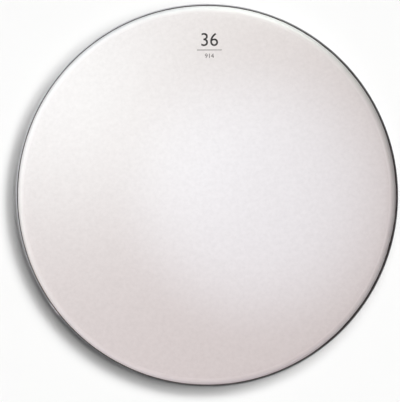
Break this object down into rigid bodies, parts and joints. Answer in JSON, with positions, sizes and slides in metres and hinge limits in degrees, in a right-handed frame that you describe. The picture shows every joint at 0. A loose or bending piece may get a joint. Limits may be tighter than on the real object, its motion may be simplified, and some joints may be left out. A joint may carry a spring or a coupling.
{
  "type": "drum head",
  "caption": "Round coated film drum head with a formed collar, its edge set in resin in a rolled aluminium channel hoop that passes over a drum shell.",
  "frame": {"origin": "centre of the hoop's underside", "axes": "+Z along the axis of the head, out of the playing face; +Y is the top of the picture and +X its right"},
  "size_m": [0.9331, 0.9331, 0.0245],
  "materials": {
    "hoop_aluminium": "mill finish, rolled along the hoop",
    "polyester_film": "hazy white film, semi-gloss",
    "white_coat": "fine sprayed texture, satin",
    "resin": "poured, dark, slightly uneven"
  },
  "bodies": {
    "root": {"hoop_channel": "hoop_aluminium", "membrane_film": "polyester_film", "face_coat": "white_coat", "potting_resin": "resin"}
  },
  "joints": []
}
